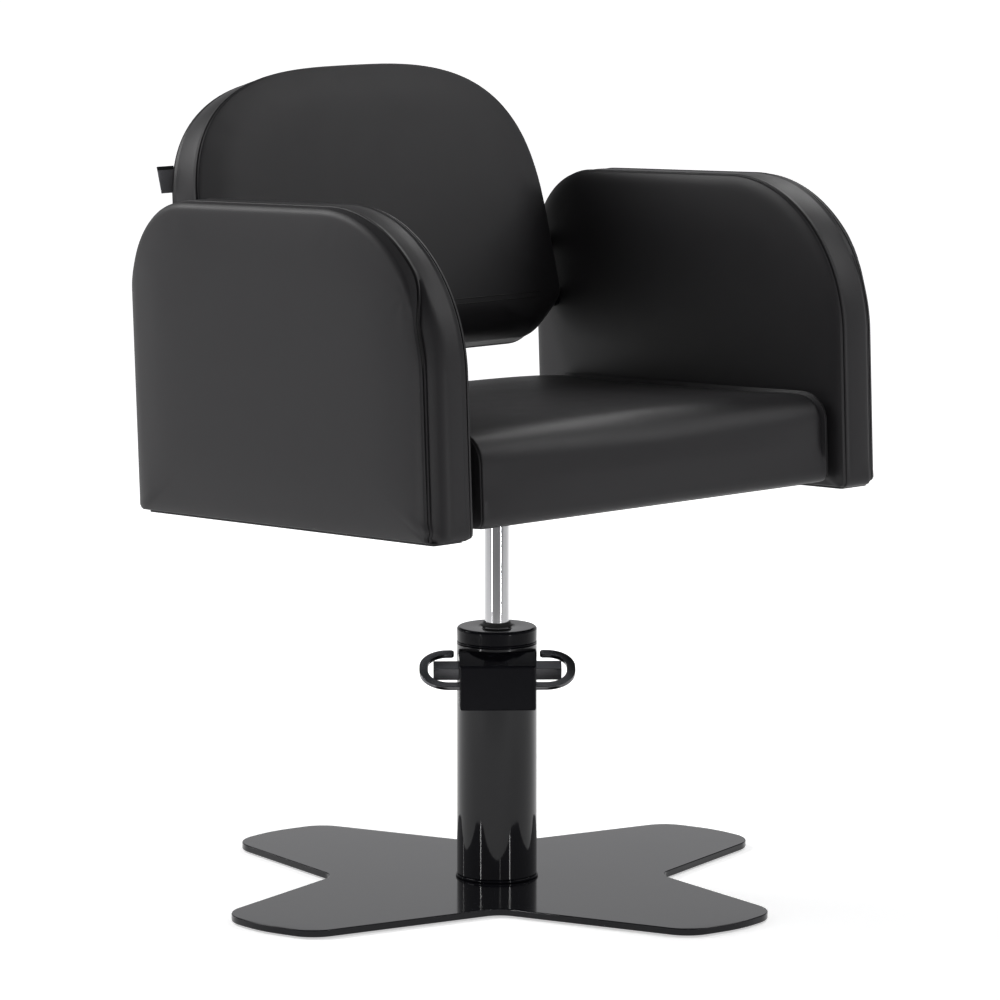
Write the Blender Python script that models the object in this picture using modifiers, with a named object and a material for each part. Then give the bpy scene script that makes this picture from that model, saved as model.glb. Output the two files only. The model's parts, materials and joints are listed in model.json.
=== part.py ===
"""Salon styling chair on a hydraulic pump and a four-armed plate base.

Metres, +Z up, floor at Z = 0, the lift axis on the world's Z axis.
The sitter faces -Y; "left" and "right" are the sitter's own.
Three empties carry the layout: base_turn (the base as it stands under the
seat), seat_tilt (the whole seat unit, leaning back a little) and back_lean
(the back cushion inside the seat unit).
"""
from math import atan2, cos, pi, radians, sin

import bmesh
import bpy
from mathutils import Matrix, Vector

# ------------------------------------------------------------ driving sizes
GAP = 0.0003                      # between pieces that touch

BASE_TURN = radians(-40.1)        # pedal direction against the seat's front
PLATE_BOTTOM = 0.0022
PLATE_T = 0.008
TIP_LONG, TIP_SHORT = 0.3100, 0.2080   # corners of an arm's end, from the axis
TIP_R = 0.042
NOTCH, NOTCH_R = 0.187, 0.030     # deepest point of the V between two arms
TIP_BULGE, BOW_R = 0.0122, 0.15
PLATE_DEPTH = 0.868               # the plate is shallower than it is wide
GLIDE_R, GLIDE_T = 0.011, 0.0019
GLIDE_REACH = 0.315

COLUMN_R, COLUMN_WALL = 0.046, 0.0028
CAP_Z0, CAP_Z1 = 0.2831, 0.302
CYLINDER_R, CYLINDER_BORE = 0.021, 0.017
ROD_R = 0.014
ROD_Z0, ROD_Z1 = 0.136, 0.467

PIVOT_Y, PIVOT_Z = -0.032, 0.256  # pedal shaft, in the base's own axes
PEDAL_SLOPE = radians(24)
SHAFT_SIDE, SHAFT_HALF = 0.016, 0.073
JOURNAL_R = 0.006
LOOP_HALF, LOOP_FRONT, LOOP_REAR = 0.084, 0.031, -0.033   # bar's centre line
LOOP_BAR, LOOP_T = 0.010, 0.005
END_R = 0.004                     # rounding of the loop's two ends

COVER_FRONT, COVER_BEND, COVER_BACK = -0.072, -0.046, -0.020
COVER_Z0, COVER_CREASE, COVER_TOP = 0.217, 0.2675, 0.2795
COVER_HALF, COVER_HALF_FRONT, COVER_T = 0.0445, 0.0432, 0.0015

SEAT_PLANE = 0.4514               # underside of the arms, on the lift axis
SEAT_TILT = radians(2.5)
SEAT_W = 0.676
ARM_T, ARM_H = 0.068, 0.355
ARM_FRONT, ARM_REAR = -0.283, 0.238
ARM_FRONT_R, ARM_REAR_R = 0.178, 0.100
PAD_T, CORE_T = 0.0237, 0.020     # an arm is pad, plywood core, pad
CORE_INSET = 0.010

INNER_HALF = SEAT_W / 2 - ARM_T
SEAT_HALF = 0.2625
SEAT_FRONT, SEAT_REAR = -0.276, 0.200
BOARD_Z0, BOARD_T = 0.009, 0.0147
SEAT_TOP, SEAT_NOSE_R = 0.113, 0.034

BACK_Y, BACK_Z = 0.150, 0.160     # bottom front edge of the back, seat axes
BACK_LEAN = radians(13.5)
BACK_HALF, BACK_H = 0.261, 0.343
BACK_CORNER_R = 0.060
BACK_SHOULDER = 0.126             # height where the round top begins
BACK_PAD_T, BACK_BOARD_T = 0.027, 0.012

# --------------------------------------------------------------- the scene
for old in list(bpy.data.objects):
    bpy.data.objects.remove(old, do_unlink=True)

parts = bpy.data.collections.new("styling_chair")
cutters = bpy.data.collections.new("cutters")
bpy.context.scene.collection.children.link(parts)
bpy.context.scene.collection.children.link(cutters)


def finish(name, colour, roughness, metallic):
    """A Principled finish with one colour."""
    mat = bpy.data.materials.new(name)
    mat.use_nodes = True
    shader = mat.node_tree.nodes["Principled BSDF"]
    shader.inputs["Base Color"].default_value = (*colour, 1.0)
    shader.inputs["Roughness"].default_value = roughness
    shader.inputs["Metallic"].default_value = metallic
    return mat


LEATHER = finish("black_leather", (0.030, 0.029, 0.030), 0.45, 0.0)
GLOSS = finish("gloss_black_paint", (0.010, 0.010, 0.012), 0.08, 0.0)
CHROME = finish("chrome", (0.80, 0.80, 0.82), 0.08, 1.0)
STEEL = finish("zinc_steel", (0.55, 0.56, 0.58), 0.35, 1.0)
PLY = finish("plywood", (0.55, 0.40, 0.24), 0.6, 0.0)
RUBBER = finish("rubber", (0.02, 0.02, 0.02), 0.7, 0.0)
BRASS = finish("bronze", (0.60, 0.42, 0.18), 0.3, 1.0)
TAG = finish("grey_tag", (0.20, 0.20, 0.21), 0.8, 0.0)


def empty(name, parent=None, location=(0, 0, 0), rotation=(0, 0, 0)):
    obj = bpy.data.objects.new(name, None)
    obj.parent = parent
    obj.location = location
    obj.rotation_euler = rotation
    bpy.context.scene.collection.objects.link(obj)
    return obj


base_turn = empty("base_turn", rotation=(0, 0, BASE_TURN))
pedal_pivot = empty("pedal_pivot", base_turn, (0, PIVOT_Y, PIVOT_Z), (PEDAL_SLOPE, 0, 0))
seat_tilt = empty("seat_tilt", None, (0, 0, SEAT_PLANE), (-SEAT_TILT, 0, 0))
back_lean = empty("back_lean", seat_tilt, (0, BACK_Y, BACK_Z), (-BACK_LEAN, 0, 0))


# ------------------------------------------------------------- small tools
def add(name, mesh, mat, parent=None, location=(0, 0, 0), rotation=(0, 0, 0), smooth=True):
    """Put a mesh into the object's collection under its empty."""
    obj = bpy.data.objects.new(name, mesh)
    mesh.materials.clear()
    mesh.materials.append(mat)
    obj.parent = parent
    obj.location = location
    obj.rotation_euler = rotation
    parts.objects.link(obj)
    if smooth:
        mesh.shade_smooth()
        mesh.set_sharp_from_angle(angle=radians(35))
    return obj


def as_cutter(obj):
    """Move a piece to the cutters and keep it out of the object."""
    parts.objects.unlink(obj)
    cutters.objects.link(obj)
    obj.hide_render = True
    obj.display_type = "WIRE"
    return obj


def cut(target, *tools, operation="DIFFERENCE"):
    for tool in tools:
        mod = target.modifiers.new(operation.lower() + "_" + tool.name, "BOOLEAN")
        mod.object = tool
        mod.operation = operation
        mod.solver = "EXACT"
    return target


def box_mesh(name, low, high):
    low, high = Vector(low), Vector(high)
    bm = bmesh.new()
    bmesh.ops.create_cube(bm, size=1.0)
    bmesh.ops.scale(bm, vec=high - low, verts=bm.verts)
    bmesh.ops.translate(bm, vec=(low + high) / 2, verts=bm.verts)
    mesh = bpy.data.meshes.new(name)
    bm.to_mesh(mesh)
    bm.free()
    return mesh


def rod_mesh(name, radius, start, end, sides=32):
    """A solid cylinder from start to end."""
    start, end = Vector(start), Vector(end)
    bm = bmesh.new()
    bmesh.ops.create_cone(bm, cap_ends=True, segments=sides, radius1=radius,
                          radius2=radius, depth=(end - start).length)
    turn = Vector((0, 0, 1)).rotation_difference(end - start).to_matrix().to_4x4()
    bm.transform(Matrix.Translation((start + end) / 2) @ turn)
    mesh = bpy.data.meshes.new(name)
    bm.to_mesh(mesh)
    bm.free()
    return mesh


def turned(name, profile, mat, parent=None, location=(0, 0, 0), steps=48):
    """A ring or disc from a closed (radius, height) profile and a Screw."""
    mesh = bpy.data.meshes.new(name)
    count = len(profile)
    area = sum(profile[i - 1][0] * z - r * profile[i - 1][1] for i, (r, z) in enumerate(profile))
    if area > 0:                  # the outer side must run from top to bottom
        profile = profile[::-1]
    mesh.from_pydata([(r, 0, z) for r, z in profile],
                     [(i, (i + 1) % count) for i in range(count)], [])
    obj = add(name, mesh, mat, parent, location, smooth=False)
    screw = obj.modifiers.new("turn", "SCREW")
    screw.angle = 2 * pi
    screw.steps = steps
    screw.render_steps = steps
    screw.use_merge_vertices = True
    screw.merge_threshold = 0.00001
    return obj


def rounded(corners, segments=5):
    """Outline through (x, y, radius) corners, each corner an arc."""
    points = []
    count = len(corners)
    for i, (x, y, radius) in enumerate(corners):
        here = Vector((x, y))
        before = Vector(corners[i - 1][:2]) - here
        after = Vector(corners[(i + 1) % count][:2]) - here
        if radius <= 0:
            points.append(here)
            continue
        before.normalize()
        after.normalize()
        half = before.angle(after) / 2
        reach = radius / sin(half)
        centre = here + (before + after).normalized() * reach
        first = here + before * (radius / (sin(half) / cos(half))) - centre
        last = here + after * (radius / (sin(half) / cos(half))) - centre
        start = atan2(first.y, first.x)
        sweep = (atan2(last.y, last.x) - start + pi) % (2 * pi) - pi
        for k in range(segments + 1):
            angle = start + sweep * k / segments
            points.append(centre + Vector((cos(angle), sin(angle))) * radius)
    return [(p.x, p.y) for p in points]


def slab(name, outline, low, high, mat, parent=None, edge=0.0, frame=None,
         location=(0, 0, 0), rotation=(0, 0, 0)):
    """A flat outline (2D curve, filled) given the thickness low..high.

    frame turns the outline's plane: None lays it in XY with the thickness
    along Z, "side" puts it in YZ with the thickness along X, "face" puts it
    in XZ with the thickness along Y.
    """
    curve = bpy.data.curves.new(name, "CURVE")
    curve.dimensions = "2D"
    curve.fill_mode = "BOTH"
    curve.extrude = (high - low) / 2 - edge
    curve.bevel_depth = edge
    curve.bevel_resolution = 1
    curve.offset = -edge
    spline = curve.splines.new("POLY")
    spline.points.add(len(outline) - 1)
    for point, (x, y) in zip(spline.points, outline):
        point.co = (x, y, 0, 1)
    spline.use_cyclic_u = True
    shape = bpy.data.objects.new(name + "_outline", curve)
    bpy.context.scene.collection.objects.link(shape)
    bpy.context.view_layer.update()
    graph = bpy.context.evaluated_depsgraph_get()
    mesh = bpy.data.meshes.new_from_object(shape.evaluated_get(graph))
    bpy.data.objects.remove(shape, do_unlink=True)
    bpy.data.curves.remove(curve)
    mesh.name = name
    bm = bmesh.new()
    bm.from_mesh(mesh)
    bmesh.ops.remove_doubles(bm, verts=bm.verts, dist=0.00001)
    bmesh.ops.recalc_face_normals(bm, faces=bm.faces)
    bm.transform(Matrix.Translation((0, 0, (low + high) / 2)))
    if frame == "side":
        bm.transform(Matrix(((0, 0, 1, 0), (1, 0, 0, 0), (0, 1, 0, 0), (0, 0, 0, 1))))
    if frame == "face":
        bm.transform(Matrix(((1, 0, 0, 0), (0, 0, -1, 0), (0, 1, 0, 0), (0, 0, 0, 1))))
        bm.transform(Matrix.Scale(-1, 4, (0, 1, 0)))
        bmesh.ops.reverse_faces(bm, faces=bm.faces)
    bm.to_mesh(mesh)
    bm.free()
    return add(name, mesh, mat, parent, location, rotation)


# ------------------------------------------------------------- base plate
PLATE_TOP = PLATE_BOTTOM + PLATE_T
SCREW_RING = 0.032


def base_outline():
    """Four arms with V notches between them; arm ends bow outwards."""
    corners = []
    bow = (TIP_LONG + TIP_SHORT) / 2 ** 0.5 + TIP_BULGE
    for quarter in range(4):
        turn = quarter * pi / 2
        local = [(NOTCH, 0.0, NOTCH_R), (TIP_LONG, TIP_SHORT, TIP_R),
                 (bow * cos(pi / 4), bow * sin(pi / 4), BOW_R),
                 (TIP_SHORT, TIP_LONG, TIP_R)]
        for x, y, radius in local:
            corners.append((x * cos(turn) - y * sin(turn),
                            (x * sin(turn) + y * cos(turn)) * PLATE_DEPTH, radius))
    return rounded(corners, segments=4)


def make_plate():
    plate = slab("base_plate", base_outline(), PLATE_BOTTOM, PLATE_TOP, GLOSS, base_turn)
    for index in range(4):
        angle = pi / 4 + index * pi / 2
        x, y = SCREW_RING * cos(angle), SCREW_RING * sin(angle)
        hole = turned(f"screw_hole_{index + 1}",
                      [(0.0075, -0.001), (0.0075, 0.0007), (0.0045, 0.0042), (0.0045, 0.012),
                       (0, 0.012), (0, -0.001)],
                      STEEL, base_turn, (x, y, PLATE_BOTTOM), steps=16)
        cut(plate, as_cutter(hole))
        turned(f"plate_screw_{index + 1}",
               [(0.0072, 0.0004), (0.0042, 0.0039), (0.0042, 0.016), (0, 0.016), (0, 0.0004)],
               STEEL, base_turn, (x, y, PLATE_BOTTOM), steps=16)
        disc = rod_mesh(f"glide_{index + 1}", GLIDE_R, (0, 0, 0), (0, 0, GLIDE_T), 20)
        add(f"glide_{index + 1}", disc, RUBBER, base_turn,
            (GLIDE_REACH * cos(angle), GLIDE_REACH * sin(angle) * PLATE_DEPTH, 0))
    add("centre_pad", rod_mesh("centre_pad", 0.022, (0, 0, 0), (0, 0, GLIDE_T), 32),
        RUBBER, base_turn)


make_plate()


# ------------------------------------------------------- column and pump
FOOT_Z0 = PLATE_TOP + GAP
FOOT_Z1 = 0.022
TUBE_Z0 = 0.0138


def tube(outer, inner, low, high):
    """Closed profile of a plain ring."""
    return [(outer, high), (outer, low), (inner, low), (inner, high)]


def make_pump():
    turned("foot_ring", tube(0.0475, 0.0440, FOOT_Z0, TUBE_Z0 - GAP), GLOSS, base_turn)
    foot = turned("pump_foot", [(0.0425, FOOT_Z1), (0.0425, FOOT_Z0), (0, FOOT_Z0), (0, FOOT_Z1)],
                  STEEL, base_turn)
    column = turned("column_tube", tube(COLUMN_R, COLUMN_R - COLUMN_WALL, TUBE_Z0, CAP_Z0 - GAP),
                    GLOSS, base_turn, steps=64)
    window = box_mesh("column_window", (-0.044, -0.060, 0.2255), (0.044, -0.0190, 0.2765))
    cut(column, as_cutter(add("column_window", window, STEEL, base_turn)))
    for index in range(4):
        angle = pi / 4 + index * pi / 2
        tap = rod_mesh(f"tapped_hole_{index + 1}", 0.0045,
                       (SCREW_RING * cos(angle), SCREW_RING * sin(angle), 0.005),
                       (SCREW_RING * cos(angle), SCREW_RING * sin(angle), 0.030), 16)
        cut(foot, as_cutter(add(f"tapped_hole_{index + 1}", tap, STEEL, base_turn)))
    turned("pump_cylinder", tube(CYLINDER_R, CYLINDER_BORE, FOOT_Z1 + GAP, CAP_Z0 - GAP),
           STEEL, base_turn, steps=40)
    turned("guide_bush", tube(CYLINDER_BORE - GAP, ROD_R + GAP, 0.262, CAP_Z0 - 2 * GAP),
           BRASS, base_turn, steps=40)
    turned("pump_cap",
           [(COLUMN_R - 0.003, CAP_Z1), (COLUMN_R - 0.001, CAP_Z1 - 0.001),
            (COLUMN_R, CAP_Z1 - 0.003), (COLUMN_R, CAP_Z0),
            (ROD_R + GAP, CAP_Z0), (ROD_R + GAP, CAP_Z1)],
           GLOSS, base_turn, steps=64)
    turned("rod_seal",
           [(0.0165, CAP_Z1 + 0.0045), (0.018, CAP_Z1 + 0.003), (0.018, CAP_Z1 + GAP),
            (ROD_R + GAP, CAP_Z1 + GAP), (ROD_R + GAP, CAP_Z1 + 0.0045)],
           RUBBER, base_turn, steps=40)
    turned("piston_rod",
           [(ROD_R - 0.001, ROD_Z1), (ROD_R, ROD_Z1 - 0.001), (ROD_R, ROD_Z0), (0, ROD_Z0),
            (0, ROD_Z1)], CHROME, None, steps=48)
    turned("piston_head",
           [(CYLINDER_BORE - GAP, ROD_Z0 - GAP), (CYLINDER_BORE - GAP, 0.118), (0, 0.118),
            (0, ROD_Z0 - GAP)], RUBBER, None, steps=40)


# ----------------------------------------------------------- front cover
def cover_form(name, front, back, low, crease, top, half, half_front, mat):
    """Box with a sloping front top edge, narrower at the front."""
    outline = [(front, low), (back, low), (back, top), (COVER_BEND, top), (front, crease)]
    obj = slab(name, outline, -half, half, mat, base_turn, frame="side")
    for vert in obj.data.vertices:
        reach = min(1.0, max(0.0, (COVER_BEND - vert.co.y) / (COVER_BEND - front)))
        vert.co.x *= 1.0 - reach * (1.0 - half_front / half)
    return obj


def make_cover():
    cover = cover_form("front_cover", COVER_FRONT, COVER_BACK, COVER_Z0, COVER_CREASE, COVER_TOP,
                       COVER_HALF, COVER_HALF_FRONT, GLOSS)
    inside = cover_form("cover_inside", COVER_FRONT + COVER_T, COVER_BACK + 0.02, COVER_Z0 - 0.01,
                        COVER_CREASE - 0.0012, COVER_TOP - COVER_T, COVER_HALF - COVER_T,
                        COVER_HALF_FRONT - COVER_T, GLOSS)
    shape = rod_mesh("cover_fit", COLUMN_R + GAP, (0, 0, 0.19), (0, 0, 0.30), 64)
    shaft_slot = box_mesh("shaft_slot", (-0.06, -0.0455, 0.20), (0.06, -0.010, 0.2695))
    loop_slot = box_mesh("loop_slot", (-0.06, -0.0685, 0.20), (0.06, -0.0495, 0.2525))
    cut(cover, as_cutter(inside), as_cutter(add("cover_fit", shape, GLOSS, base_turn)),
        as_cutter(add("shaft_slot", shaft_slot, GLOSS, base_turn)),
        as_cutter(add("loop_slot", loop_slot, GLOSS, base_turn)))


# ------------------------------------------------------- pedal mechanism
EAR_IN, EAR_OUT = 0.020, 0.026
CAM_R, CAM_OFFSET = 0.010, 0.006
CAM_TURN = radians(70)            # from straight down towards the front
PLUNGER_R = 0.005
PLUNGER_TOP = PIVOT_Z - CAM_R - CAM_OFFSET * cos(CAM_TURN) - GAP


def make_bracket():
    """U-shaped bracket on the cylinder with an ear on each side of the cam."""
    back = -CYLINDER_R - GAP
    outline = [(-EAR_OUT, back), (EAR_OUT, back), (EAR_OUT, -0.042), (EAR_IN, -0.042),
               (EAR_IN, back - 0.0025), (-EAR_IN, back - 0.0025), (-EAR_IN, -0.042),
               (-EAR_OUT, -0.042)]
    bracket = slab("pedal_bracket", outline, 0.238, 0.274, STEEL, base_turn)
    bore = rod_mesh("bracket_bore", JOURNAL_R + GAP, (-0.04, PIVOT_Y, PIVOT_Z),
                    (0.04, PIVOT_Y, PIVOT_Z), 24)
    cut(bracket, as_cutter(add("bracket_bore", bore, STEEL, base_turn)))


def make_plunger():
    barrel = add("plunger_barrel",
                 box_mesh("plunger_barrel", (-0.010, -0.0405, 0.130), (0.010, -CYLINDER_R - GAP, 0.222)),
                 STEEL, base_turn, smooth=False)
    bore = rod_mesh("barrel_bore", PLUNGER_R + GAP, (0, PIVOT_Y, 0.138), (0, PIVOT_Y, 0.24), 20)
    cut(barrel, as_cutter(add("barrel_bore", bore, STEEL, base_turn)))
    add("plunger", rod_mesh("plunger", PLUNGER_R, (0, PIVOT_Y, 0.150), (0, PIVOT_Y, PLUNGER_TOP), 20),
        STEEL, base_turn)


def loop_outline():
    """Outline of the C-shaped foot loop, bar width both sides of its line."""
    half = LOOP_BAR / 2
    outer, inner = LOOP_HALF + half, LOOP_HALF - half
    front, back = -LOOP_FRONT, -LOOP_REAR
    tip = 0.049
    outside = [(tip, back + half, END_R), (outer, back + half, 0.032), (outer, front - half, 0.034),
               (-outer, front - half, 0.034), (-outer, back + half, 0.032), (-tip, back + half, END_R)]
    inside = [(-tip, back - half, END_R), (-inner, back - half, 0.022), (-inner, front + half, 0.024),
              (inner, front + half, 0.024), (inner, back - half, 0.022), (tip, back - half, END_R)]
    return rounded(outside + inside, segments=5)


def make_pedal():
    slab("pedal_loop", loop_outline(), -LOOP_T / 2, LOOP_T / 2, GLOSS, pedal_pivot)
    side = SHAFT_SIDE / 2
    shaft = add("pedal_shaft", rod_mesh("pedal_shaft", JOURNAL_R, (-0.032, 0, 0), (0.032, 0, 0), 24),
                GLOSS, pedal_pivot)
    for sign, word in ((-1, "right"), (1, "left")):
        ends = sorted((sign * 0.0285, sign * SHAFT_HALF))
        square = box_mesh(f"square_end_{word}", (ends[0], -side, -side), (ends[1], side, side))
        end = as_cutter(add(f"square_end_{word}", square, GLOSS, pedal_pivot))
        cut(shaft, end, operation="UNION")
        inner, outer = sorted((sign * 0.0295, sign * 0.0355))
        link = box_mesh(f"pedal_link_{word}", (inner, -LOOP_FRONT + LOOP_BAR / 2 + GAP, -0.005),
                        (outer, -side - GAP, 0.005))
        add(f"pedal_link_{word}", link, STEEL, pedal_pivot, smooth=False)
    # the cam's offset is told from straight down, so the pedal's slope is taken off
    turn = CAM_TURN + PEDAL_SLOPE
    centre = Vector((0, -CAM_OFFSET * sin(turn), -CAM_OFFSET * cos(turn)))
    half = Vector((0.006, 0, 0))
    cam = add("pump_cam", rod_mesh("pump_cam", CAM_R, centre - half, centre + half, 32),
              STEEL, pedal_pivot)
    hole = rod_mesh("cam_hole", JOURNAL_R + GAP, (-0.02, 0, 0), (0.02, 0, 0), 24)
    cut(cam, as_cutter(add("cam_hole", hole, STEEL, pedal_pivot)))


make_pump()
make_cover()
make_bracket()
make_plunger()
make_pedal()

# -------------------------------------------------- seat hub and framework
PLATE_LOW, PLATE_HIGH = -0.0026, 0.0034   # mount plate, in seat axes
RAIL_T = 0.005
HUB_Z0, HUB_Z1 = 0.441, 0.4735    # socket that rises through the plate and the board
HUB_R, FLANGE_R = 0.026, 0.038
BUSH_R = 0.017


def make_hub():
    """Socket for the piston rod: a flange under the mount plate, a tube through it."""
    hub = turned("seat_hub", [(FLANGE_R, SEAT_PLANE), (FLANGE_R, HUB_Z0), (0, HUB_Z0), (0, SEAT_PLANE)],
                 STEEL, None)
    trim = box_mesh("hub_trim", (-0.2, -0.2, PLATE_LOW - GAP), (0.2, 0.2, 0.1))
    tube_part = rod_mesh("hub_tube", HUB_R, (0, 0, HUB_Z0), (0, 0, HUB_Z1), 48)
    bore = rod_mesh("hub_bore", BUSH_R + GAP, (0, 0, HUB_Z0 - 0.01), (0, 0, ROD_Z1 + 0.003), 40)
    cut(hub, as_cutter(add("hub_trim", trim, STEEL, seat_tilt)))
    cut(hub, as_cutter(add("hub_tube", tube_part, STEEL, None)), operation="UNION")
    cut(hub, as_cutter(add("hub_bore", bore, STEEL, None)))
    turned("swivel_bush", tube(BUSH_R, ROD_R + GAP, HUB_Z0 + 0.0005, ROD_Z1 - 0.001), BRASS, None,
           steps=40)


BOLT_X, BOLT_Y = 0.095, 0.075


def make_framework():
    plate = slab("mount_plate", rounded([(-0.115, -0.095, 0.015), (0.115, -0.095, 0.015),
                                         (0.115, 0.095, 0.015), (-0.115, 0.095, 0.015)], 3),
                 PLATE_LOW, PLATE_HIGH, STEEL, seat_tilt)
    board = add("seat_board",
                box_mesh("seat_board", (-SEAT_HALF + 0.002, SEAT_FRONT + 0.006, BOARD_Z0),
                         (SEAT_HALF - 0.002, SEAT_REAR - 0.006, BOARD_Z0 + BOARD_T)),
                PLY, seat_tilt, smooth=False)
    for target, radius in ((plate, HUB_R + 0.001), (board, HUB_R + 0.0025)):
        name = f"hub_hole_in_{target.name}"
        opening = rod_mesh(name, radius, (0, 0, -0.02), (0, 0, 0.05), 40)
        cut(target, as_cutter(add(name, opening, STEEL, seat_tilt)))
    for index, (sx, sy) in enumerate(((-1, -1), (1, -1), (1, 1), (-1, 1)), 1):
        x, y = sx * BOLT_X, sy * BOLT_Y
        hole = as_cutter(add(f"bolt_hole_{index}",
                             rod_mesh(f"bolt_hole_{index}", 0.0043, (x, y, -0.01), (x, y, 0.018), 16),
                             STEEL, seat_tilt))
        cut(plate, hole)
        cut(board, hole)
        turned(f"mount_bolt_{index}",
               [(0.0065, PLATE_LOW - GAP), (0.0065, PLATE_LOW - 0.005), (0, PLATE_LOW - 0.005),
                (0, 0.0175), (0.004, 0.0175), (0.004, PLATE_LOW - GAP)],
               STEEL, seat_tilt, (x, y, 0), steps=16)
    low = PLATE_HIGH + GAP
    high = BOARD_Z0 - GAP
    end = INNER_HALF - 0.0005
    for word, y in (("front", -0.165), ("rear", 0.140)):
        outline = [(-end, low), (end, low), (end, 0.042), (end - 0.004, 0.042), (end - 0.004, high),
                   (-end + 0.004, high), (-end + 0.004, 0.042), (-end, 0.042)]
        slab(f"cross_rail_{word}", outline, y - 0.020, y + 0.020, STEEL, seat_tilt, frame="face")


# ------------------------------------------------------------- upholstery
def make_seat_cushion():
    low = BOARD_Z0 + BOARD_T + GAP
    outline = rounded([(SEAT_FRONT, low, 0.004), (SEAT_REAR, low, 0.004), (SEAT_REAR, SEAT_TOP, 0.022),
                       (SEAT_FRONT, SEAT_TOP, SEAT_NOSE_R)], segments=6)
    slab("seat_cushion", outline, -SEAT_HALF, SEAT_HALF, LEATHER, seat_tilt, frame="side")


def arm_outline(inset):
    """Arm seen from the side: flat sole, upright back, two round shoulders."""
    front, rear, top = ARM_FRONT + inset, ARM_REAR - inset, ARM_H - inset
    corners = [(front, inset, 0.006), (rear, inset, 0.006), (rear, top, ARM_REAR_R - inset),
               (front, top, ARM_FRONT_R - inset)]
    return rounded(corners, segments=12)


STUDS = ((0.196, 0.200), (0.212, 0.266))   # (y, z) of the back's fixings, in seat axes
STUD_R, STUD_BITE = 0.004, 0.030


def make_arms():
    for sign, word in ((-1, "right"), (1, "left")):
        inner = INNER_HALF
        layers = (("arm_inner_pad", inner, inner + PAD_T, 0.0, LEATHER),
                  ("arm_core", inner + PAD_T + GAP, inner + PAD_T + GAP + CORE_T, CORE_INSET, PLY),
                  ("arm_outer_pad", SEAT_W / 2 - PAD_T, SEAT_W / 2, 0.0, LEATHER))
        for name, near, far, inset, mat in layers:
            low, high = sorted((sign * near, sign * far))
            layer = slab(f"{name}_{word}", arm_outline(inset), low, high, mat, seat_tilt,
                         frame="side")
            if name != "arm_outer_pad":
                for index, (y, z) in enumerate(STUDS, 1):
                    hole = rod_mesh(f"{name}_hole_{word}_{index}", STUD_R + GAP,
                                    (sign * (inner - 0.01), y, z),
                                    (sign * (inner + STUD_BITE + 0.001), y, z), 16)
                    cut(layer, as_cutter(add(f"{name}_hole_{word}_{index}", hole, STEEL, seat_tilt)))


def back_outline(inset):
    """Back seen from the front: soft lower corners under one round top."""
    half, low = BACK_HALF - inset, inset
    corner = BACK_CORNER_R - inset
    lower = rounded([(-half, low, corner), (half, low, corner)] + [(half, 0.2, 0), (-half, 0.2, 0)],
                    segments=6)
    bottom = [p for p in lower if p[1] < BACK_SHOULDER]
    left = [p for p in bottom if p[0] < 0]
    right = [p for p in bottom if p[0] >= 0]
    rise = BACK_H - inset - BACK_SHOULDER
    top = []
    for step in range(25):
        angle = pi * step / 24
        c, s = cos(angle), sin(angle)
        top.append((half * abs(c) ** (2 / 3) * (1 if c >= 0 else -1),
                    BACK_SHOULDER + rise * abs(s) ** (2 / 3)))
    return right + top + left


def make_back():
    depth = 0.0
    back_half = BACK_HALF - 0.0005
    layers = (("back_front_pad", BACK_PAD_T, 0.0, LEATHER),
              ("back_board", BACK_BOARD_T, 0.012, PLY),
              ("back_rear_pad", BACK_PAD_T, 0.0, LEATHER))
    for name, thick, inset, mat in layers:
        layer = slab(name, back_outline(inset), depth, depth + thick, mat, back_lean, frame="face")
        depth += thick + GAP
        for sign, word in ((-1, "right"), (1, "left")):
            for index, (y, z) in enumerate(STUDS, 1):
                hole = rod_mesh(f"{name}_hole_{word}_{index}", STUD_R + GAP,
                                (sign * (back_half - STUD_BITE - 0.001), y, z),
                                (sign * (BACK_HALF + 0.01), y, z), 16)
                cut(layer, as_cutter(add(f"{name}_hole_{word}_{index}", hole, STEEL, seat_tilt)))


def make_back_fixings():
    for sign, word in ((-1, "right"), (1, "left")):
        for index, (y, z) in enumerate(STUDS, 1):
            near, far = sign * (BACK_HALF + GAP), sign * (INNER_HALF - GAP)
            spacer = add(f"back_spacer_{word}_{index}",
                         rod_mesh(f"back_spacer_{word}_{index}", 0.011, (near, y, z), (far, y, z), 24),
                         STEEL, seat_tilt)
            bore = rod_mesh(f"spacer_bore_{word}_{index}", STUD_R + GAP,
                            (sign * 0.2, y, z), (sign * 0.3, y, z), 16)
            cut(spacer, as_cutter(add(f"spacer_bore_{word}_{index}", bore, STEEL, seat_tilt)))
            add(f"back_stud_{word}_{index}",
                rod_mesh(f"back_stud_{word}_{index}", STUD_R,
                         (sign * (BACK_HALF - STUD_BITE), y, z),
                         (sign * (INNER_HALF + STUD_BITE), y, z), 16), STEEL, seat_tilt)
    # the tag lies on the rear pad's edge and stands a little out past it
    rear = 2 * BACK_PAD_T + BACK_BOARD_T + 3 * GAP
    tag = box_mesh("seam_tag", (-0.2605, rear, 0.216), (-0.2370, rear + 0.0010, 0.247))
    add("seam_tag", tag, TAG, back_lean, smooth=False)


make_hub()
make_framework()
make_seat_cushion()
make_arms()
make_back()
make_back_fixings()
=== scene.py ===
"""Salon styling chair: leather-look upholstery, pump column and plate base.

Everything is in metres in the frame's own axes: +Z up, the lift axis on Z,
the sitter facing -Y.  The seat unit leans back a little and the base stands
turned under it, so most pieces are made in their unit's own axes and then
put in place with that unit's matrix, which is measured from the frame.
"""

import json
from math import atan2, cos, hypot, pi, radians, sin

import bmesh
import bpy
import numpy as np
from mathutils import Matrix, Vector
from mathutils.bvhtree import BVHTree
from mathutils.interpolate import poly_3d_calc


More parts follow.
